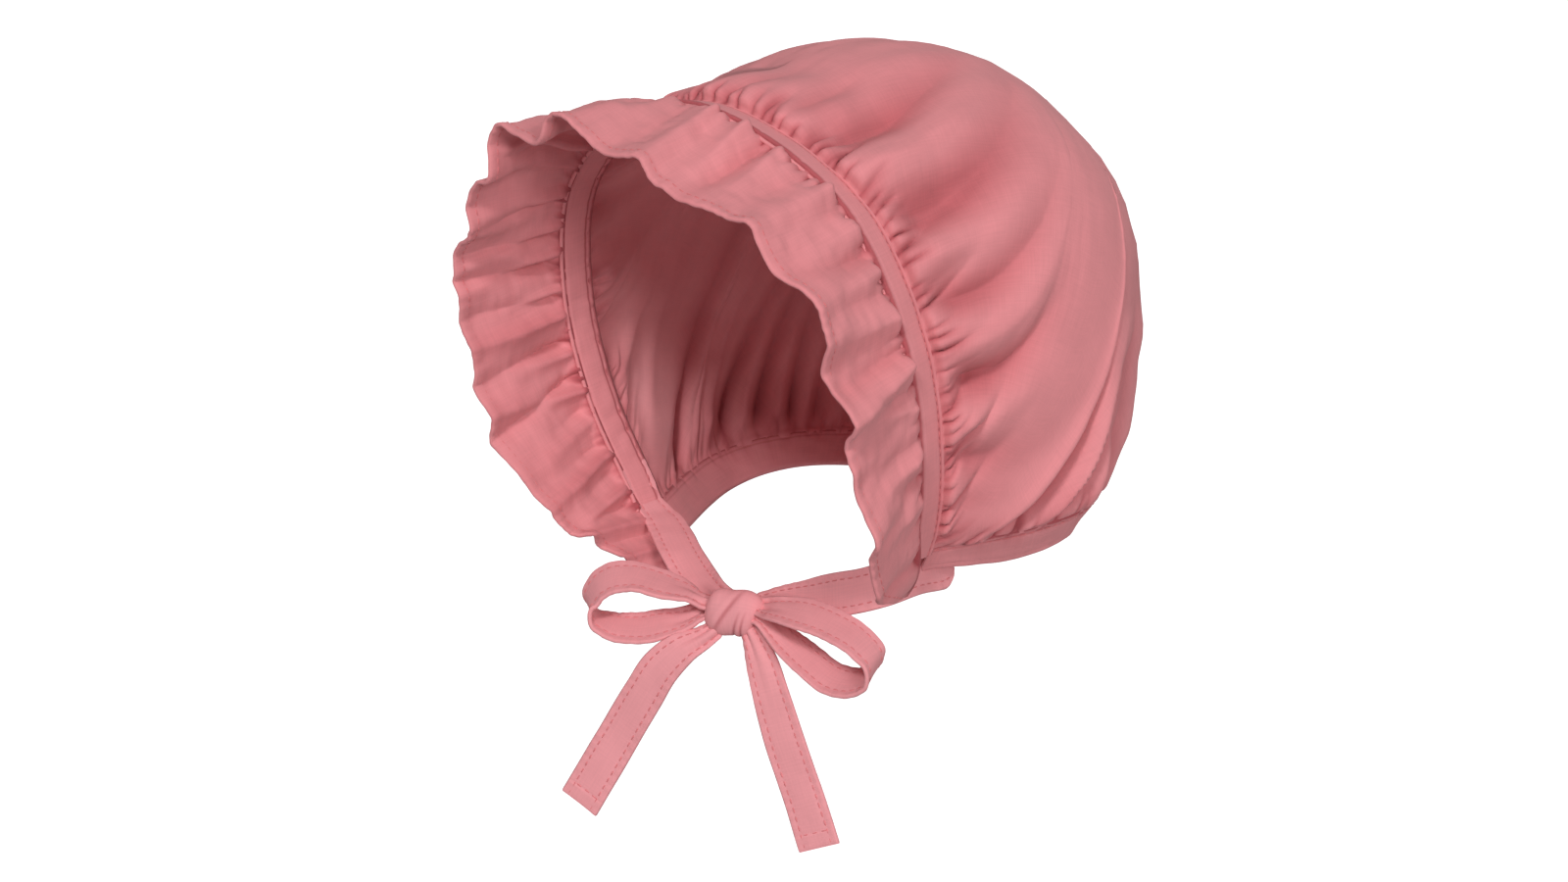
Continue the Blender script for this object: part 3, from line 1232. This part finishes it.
def both_faces(name, place, up, thick, keep):
    """Rows of stitches on both faces of a cloth of this half thickness, sunk a little into it."""
    high = thick - STITCH_SUNK
    return [stitch_mesh(name, (place + up * side * high)[keep], (up * side)[keep]) for side in (1, -1)]


def make_ruffle():
    cloth, _, thread = finishes()
    grid, reach, from_hem, hem_run, tucked = ruffle_surface()
    normal = surface_normals(grid)
    hem_line = HEM - 0.4 * mm
    wall = RUFFLE_CLOTH * (1 + 0.55 * fade((from_hem - HEM + 0.5 * mm) / (0.6 * mm)))
    groove = line_at(from_hem, hem_line, 0.34 * mm) * 0.17 * mm
    flat = np.stack([hem_run, reach], axis=-1)
    mesh = sheet_mesh("ruffle_cloth", grid, wall, flat, tucked=tucked, lift_out=-groove, lift_in=-groove)
    rows = np.arange(len(grid))
    pick = abs(from_hem - hem_line).argmin(axis=1)
    beside = np.clip(pick + np.where(from_hem[rows, pick] > hem_line, 1, -1), 0, grid.shape[1] - 1)
    a, b = from_hem[rows, pick], from_hem[rows, beside]
    t = np.clip((hem_line - a) / np.where(abs(b - a) < 1e-9, 1, b - a), 0, 1)[:, None]
    place = grid[rows, pick] * (1 - t) + grid[rows, beside] * t
    keep = reach[:, -1] > 2.4 * hem_line
    lines = both_faces("hem_stitches", place, unit(normal[rows, pick]), wall[rows, pick][:, None] / 2, keep)
    piece = joined("ruffle_cloth", mesh, [(line, 1) for line in lines], [cloth, thread])
    finish_piece(piece, "cloth_pink", "ruffle")


def tape_piece(name, node, points, widths, width_along, seed, round_start=False, hemmed=False, flat_until=0.0):
    """A flat tape, stitched along both edges, with folds where it is squeezed narrow."""
    _, tape, thread = finishes()
    grid, run, from_edge, share = tape_surface(points, widths, width_along, round_start)
    width = from_edge.max(axis=1, keepdims=True) * 2
    squeezed = np.clip((0.95 - width / TIE_WIDTH) / 0.5, 0, 1)
    squeezed = squeezed * (1 - fade((run - flat_until) / (6 * mm)) if flat_until else 1)
    cup = squeezed * (0.5 - share**2) * TAPE_CUP
    pleat = squeezed * np.sin(share * 7.5 + 0.6) * TAPE_PLEAT
    soft = waviness(run, share * TIE_WIDTH / 2, seed, 17 * mm) * 0.32 * mm
    grid = grid + surface_normals(grid) * (cup + pleat + soft)[..., None]
    inset = np.clip(width * 0.17, 0.6 * mm, 2.1 * mm)
    ripple = np.sin(run / (0.62 * mm) + 2.0 * np.sin(run / (4.6 * mm))) * 0.07 * mm
    ripple = ripple * fade(from_edge / (3 * mm))
    lift = fade(from_edge / inset) * 0.10 * mm - line_at(from_edge, inset, 0.36 * mm) * 0.16 * mm
    if hemmed:
        from_end = run[-1:] - run
        lift = lift + fade((from_end - 4.4 * mm) / (0.5 * mm)) * 0.16 * mm
        lift = lift - line_at(from_end, TAPE_END_HEM, 0.36 * mm) * 0.17 * mm
    flat = np.stack([run, share * width / 2], axis=-1)
    mesh = sheet_mesh(name, grid, TAPE_CLOTH, flat, lift_out=lift + ripple, lift_in=lift - ripple)
    normal = surface_normals(grid)
    rows = np.arange(len(grid))
    keep = (width[:, 0] > 5 * mm) & (run[:, 0] > (2 * mm if round_start else 0))
    lines = []
    for edge in (-1, 1):
        wanted = edge * (1 - inset[:, 0] / (width[:, 0] / 2))
        columns = np.array([np.interp(w, s, np.arange(len(s))) for w, s in zip(wanted, share)])
        low = np.clip(np.floor(columns).astype(int), 0, TAPE_ROWS - 1)
        t = (columns - low)[:, None]
        place = grid[rows, low] * (1 - t) + grid[rows, low + 1] * t
        lines += both_faces("edge_stitches", place, unit(normal[rows, low]), TAPE_CLOTH / 2, keep)
    if hemmed:
        row = int(abs(run[-1, 0] - TAPE_END_HEM - run[:, 0]).argmin())
        lines += both_faces("end_stitches", grid[row], normal[row], TAPE_CLOTH / 2, abs(share[row]) < 0.72)
    piece = joined(name, mesh, [(line, 1) for line in lines], [tape, thread])
    finish_piece(piece, "tie_pink", node)


def make_left_strap():
    """The strap on the wearer's left: its rounded end lies inside the bands, behind the ear."""
    ear = face_band_rear(np.array(1.0))
    end = in_bow(np.array(TIE_LEFT_END) * mm)
    rows = np.array(TIE_LEFT_ROUTE)
    points = ear + (end - ear) * rows[:, :1] + rows[:, 1:4] * (mm, -mm, mm)
    upward = np.stack([-rows[:, 5], rows[:, 6], 1 + 0 * rows[:, 6]], axis=1)
    tape_piece("tie_tape_left", "tie_left", points, rows[:, 4], -upward, 71, round_start=True,
               flat_until=TIE_WIDTH)


def make_right_strap():
    """The strap on the wearer's right: it comes out of the end of the face band and runs straight on."""
    rows = np.array(TIE_RIGHT_ROUTE)
    along = np.array(TIE_RIGHT_ON_BAND)
    across = face_band_across(along)
    points = np.concatenate([face_seam(along) + across * FACE_BAND_WIDTH / 2, rows[:, :3] * mm])
    widths = np.concatenate([0 * along + FACE_BAND_WIDTH / TIE_WIDTH - 0.02, rows[:, 3]])
    tape_piece("tie_tape_right", "tie_right", points, widths, np.concatenate([across, rows[:, 4:]]), 69,
               flat_until=TIE_RIGHT_FLAT)


def make_bow_tape(part, route, width_along, seed, hemmed=False):
    """A loop or a tail of the bow, such as loop_left, along its route in the plane of the bow."""
    rows = np.array(route)
    side = np.array(width_along) @ bow_frame()[1]
    kind, hand = part.split("_")
    tape_piece(f"bow_{kind}_tape_{hand}", f"bow_{part}", in_bow(rows[:, :3] * mm), rows[:, 3], side, seed,
               hemmed=hemmed)


def tail_width_along(route):
    """In the plane of the bow, square to the tail's last stretch."""
    (x0, z0), (x1, z1) = (row[:2] for row in (route[-2], route[-1]))
    return (z0 - z1, x1 - x0, 0.0)


def make_knot():
    """The knot: a wrap of tape drawn tight, with slanting folds that run into its underside."""
    _, tape, _ = finishes()
    turn = np.arange(KNOT_TURNS) * math.tau / KNOT_TURNS
    across = np.sin(np.linspace(-math.pi / 2, math.pi / 2, KNOT_ROWS + 1))
    u, t = np.meshgrid(across, turn)
    end = np.clip(1 - abs(u) ** 2.7, 0, 1) ** 0.40
    pinch = 1 - 0.10 * bell(u / 0.4)
    wide = end * pinch
    front = np.clip(np.cos(t), 0, 1)
    fold = bell((u + 0.42 - 0.55 * np.sin(t)) / 0.13) - 0.8 * bell((u + 0.16 - 0.55 * np.sin(t)) / 0.10)
    creases = bell((u - 0.38 - 0.30 * np.sin(t)) / 0.05) + bell((u - 0.60 - 0.22 * np.sin(t)) / 0.05)
    ripple = 0.055 * fold * front - 0.060 * creases * np.clip(0.3 - np.sin(t), 0, 1)
    radius = wide * (1 + ripple * (1 - abs(u) ** 4))
    points = np.stack(
        [
            u * KNOT_LENGTH * 0.545 * (1 + 0.05 * np.sin(t)) + 1.2 * mm * np.sin(t) * u**2,
            radius * np.sin(t) * KNOT_HEIGHT * 0.55,
            radius * np.cos(t) * KNOT_THICKNESS / 2,
        ],
        axis=-1,
    )
    rows, columns = points.shape[:2]
    corners = in_bow(points.reshape(-1, 3))
    faces = []
    for i in range(rows):
        a, b = i * columns, ((i + 1) % rows) * columns
        faces += [(a + j, a + j + 1, b + j + 1, b + j) for j in range(columns - 1)]
    flat = np.stack([t * 6.4 * mm, u * KNOT_LENGTH / 2], axis=-1).reshape(-1, 2)
    faces.append(tuple(i * columns for i in range(rows)))
    faces.append(tuple(i * columns + columns - 1 for i in reversed(range(rows))))
    mesh = mesh_from("bow_knot_cloth", corners, faces, flat, np.clip(-ripple * 14, 0, 1).reshape(-1))
    knot = joined("bow_knot_cloth", mesh, [], [tape])
    finish_piece(knot, "tie_pink", "bow_knot")


def make_floor(height, glow):
    """A wide pale floor, which the camera sees a little brighter than it is lit."""
    mesh = bpy.data.meshes.new("floor")
    corners = [(x * FLOOR_HALF, y * FLOOR_HALF, height) for x, y in ((-1, -1), (1, -1), (1, 1), (-1, 1))]
    mesh.from_pydata(corners, [], [(0, 1, 2, 3)])
    floor = bpy.data.objects.new("floor", mesh)
    bpy.context.scene.collection.objects.link(floor)
    paper = bpy.data.materials.new("pale_floor")
    paper.use_nodes = True
    tree = paper.node_tree
    shader = tree.nodes["Principled BSDF"]
    shader.inputs["Base Color"].default_value = FLOOR_GREY
    shader.inputs["Roughness"].default_value = 1.0
    shader.inputs["Specular IOR Level"].default_value = 0.0
    shader.inputs["Emission Color"].default_value = WHITE
    path = tree.nodes.new("ShaderNodeLightPath")
    seen = math_nodes(tree)("MULTIPLY", path.outputs["Is Camera Ray"], glow)
    tree.links.new(seen, shader.inputs["Emission Strength"])
    mesh.materials.append(paper)


def make_room(strength):
    """Even, slightly rosy light from all sides, in front of a white backdrop."""
    world = bpy.data.worlds.new("studio")
    bpy.context.scene.world = world
    world.use_nodes = True
    nodes, links = world.node_tree.nodes, world.node_tree.links
    room = nodes["Background"]
    room.inputs[0].default_value = ROOM_ROSE
    room.inputs[1].default_value = strength
    seen = nodes.new("ShaderNodeBackground")
    seen.inputs[0].default_value = WHITE
    path = nodes.new("ShaderNodeLightPath")
    either = nodes.new("ShaderNodeMixShader")
    links.new(path.outputs["Is Camera Ray"], either.inputs[0])
    links.new(room.outputs[0], either.inputs[1])
    links.new(seen.outputs[0], either.inputs[2])
    links.new(either.outputs[0], nodes["World Output"].inputs[0])


def make_stage():
    """Pale floor, soft studio light and the camera."""
    scene, looks = bpy.context.scene, bpy.context.scene.bonnet_looks
    make_floor(looks.floor_height, looks.floor_glow)
    make_room(looks.room_light)
    target = VIEW_TARGET - SEAT
    level = math.cos(VIEW_RAISE)
    back = np.array((math.sin(VIEW_TURN) * level, -math.cos(VIEW_TURN) * level, math.sin(VIEW_RAISE)))
    right = np.array((math.cos(VIEW_TURN), math.sin(VIEW_TURN), 0.0))
    axes = np.array((right, np.cross(back, right), back))
    for name, place, spread, power in (
        # right, up and towards the camera, as the light's direction from the bonnet
        ("key_light", (-0.22, 0.46, 0.86), 12, looks.key_light),
        ("fill_light", (0.33, 0.04, 0.94), 16, looks.fill_light),
    ):
        light = bpy.data.lights.new(name, "SUN")
        light.angle = math.radians(spread)
        light.energy = power
        lamp = bpy.data.objects.new(name, light)
        scene.collection.objects.link(lamp)
        aim = np.array(place) @ axes
        lamp.location = Vector(target + aim)
        lamp.rotation_euler = Vector(-aim).to_track_quat("-Z", "Y").to_euler()

    camera_data = bpy.data.cameras.new("camera")
    camera_data.sensor_width = SENSOR
    camera_data.lens = VIEW_FOCAL_PIXELS / IMAGE_WIDTH * SENSOR
    camera_data.clip_start = 0.01
    camera = bpy.data.objects.new("camera", camera_data)
    scene.collection.objects.link(camera)
    spot = Matrix(axes.T.tolist()).to_4x4()
    spot.translation = Vector(target + back * VIEW_DISTANCE)
    camera.matrix_world = spot
    scene.camera = camera
    scene.view_settings.view_transform = "Standard"


class BonnetLooks(bpy.types.PropertyGroup):
    """Colours, thread and light of the bonnet."""

    cloth_colour: bpy.props.FloatVectorProperty(
        name="Cloth", description="Colour of the crown, bands and ruffle", subtype="COLOR", size=3,
        min=0.0, max=1.0, default=(0.74, 0.262, 0.281))
    tie_colour: bpy.props.FloatVectorProperty(
        name="Ties", description="Colour of the ties and the bow", subtype="COLOR", size=3,
        min=0.0, max=1.0, default=(0.79, 0.316, 0.338))
    thread_colour: bpy.props.FloatVectorProperty(
        name="Thread", description="Colour of the sewing thread", subtype="COLOR", size=3,
        min=0.0, max=1.0, default=(0.69, 0.20, 0.212))
    thread_width: bpy.props.FloatProperty(
        name="Weave", description="Width of one thread of the weave", subtype="DISTANCE", unit="LENGTH",
        min=0.0001, max=0.002, default=THREAD)
    floor_height: bpy.props.FloatProperty(
        name="Floor", description="Height of the floor below the crown's top", subtype="DISTANCE",
        unit="LENGTH", min=-2.0, max=-0.25, default=-0.5)
    floor_glow: bpy.props.FloatProperty(
        name="Floor glow", description="How much the camera sees the floor lit from below", min=0.0, max=2.0,
        default=0.9)
    room_light: bpy.props.FloatProperty(
        name="Room", description="Strength of the even light from all sides", min=0.0, max=3.0, default=0.27)
    key_light: bpy.props.FloatProperty(
        name="Key", description="Strength of the soft light from above, in watts per square metre",
        min=0.0, max=20.0, default=1.38)
    fill_light: bpy.props.FloatProperty(
        name="Fill", description="Strength of the softer light from the side, in watts per square metre",
        min=0.0, max=20.0, default=1.30)


class BONNET_OT_crown(bpy.types.Operator):
    """Sew the gathered crown"""

    bl_idname = "bonnet.crown"
    bl_label = "Crown"

    def execute(self, context):
        make_crown()
        return {"FINISHED"}


class BONNET_OT_bands(bpy.types.Operator):
    """Sew the bands round the face and the nape"""

    bl_idname = "bonnet.bands"
    bl_label = "Bands"

    def execute(self, context):
        make_face_band()
        make_neck_band()
        return {"FINISHED"}


class BONNET_OT_ruffle(bpy.types.Operator):
    """Gather and hem the ruffle"""

    bl_idname = "bonnet.ruffle"
    bl_label = "Ruffle"

    def execute(self, context):
        make_ruffle()
        return {"FINISHED"}


class BONNET_OT_bow(bpy.types.Operator):
    """Tie the two tapes in a bow"""

    bl_idname = "bonnet.bow"
    bl_label = "Ties and bow"

    def execute(self, context):
        make_knot()
        make_left_strap()
        make_right_strap()
        make_bow_tape("loop_left", LOOP_LEFT_ROUTE, LOOP_LEFT_WIDTH_ALONG, 81)
        make_bow_tape("loop_right", LOOP_RIGHT_ROUTE, LOOP_RIGHT_WIDTH_ALONG, 82)
        make_bow_tape("tail_left", TAIL_LEFT_ROUTE, tail_width_along(TAIL_LEFT_ROUTE), 83, hemmed=True)
        make_bow_tape("tail_right", TAIL_RIGHT_ROUTE, tail_width_along(TAIL_RIGHT_ROUTE), 84, hemmed=True)
        return {"FINISHED"}


class BONNET_OT_stage(bpy.types.Operator):
    """Set the floor, the light and the camera"""

    bl_idname = "bonnet.stage"
    bl_label = "Stage"

    def execute(self, context):
        make_stage()
        return {"FINISHED"}


OPERATORS = (BONNET_OT_stage, BONNET_OT_crown, BONNET_OT_bands, BONNET_OT_ruffle, BONNET_OT_bow)


class BONNET_PT_panel(bpy.types.Panel):
    """The bonnet's looks and its pieces"""

    bl_label = "Bonnet"
    bl_idname = "BONNET_PT_panel"
    bl_space_type = "VIEW_3D"
    bl_region_type = "UI"
    bl_category = "Bonnet"

    def draw(self, context):
        looks = context.scene.bonnet_looks
        for name in BonnetLooks.__annotations__:
            self.layout.prop(looks, name)
        for operator in OPERATORS:
            self.layout.operator(operator.bl_idname)


CLASSES = (BonnetLooks, *OPERATORS, BONNET_PT_panel)


def register():
    for item in CLASSES:
        bpy.utils.register_class(item)
    bpy.types.Scene.bonnet_looks = bpy.props.PointerProperty(type=BonnetLooks)


def unregister():
    del bpy.types.Scene.bonnet_looks
    for item in reversed(CLASSES):
        bpy.utils.unregister_class(item)


def main():
    register()
    bpy.ops.bonnet.stage()
    bpy.ops.bonnet.crown()
    bpy.ops.bonnet.bands()
    bpy.ops.bonnet.ruffle()
    bpy.ops.bonnet.bow()


if __name__ == "__main__":
    main()
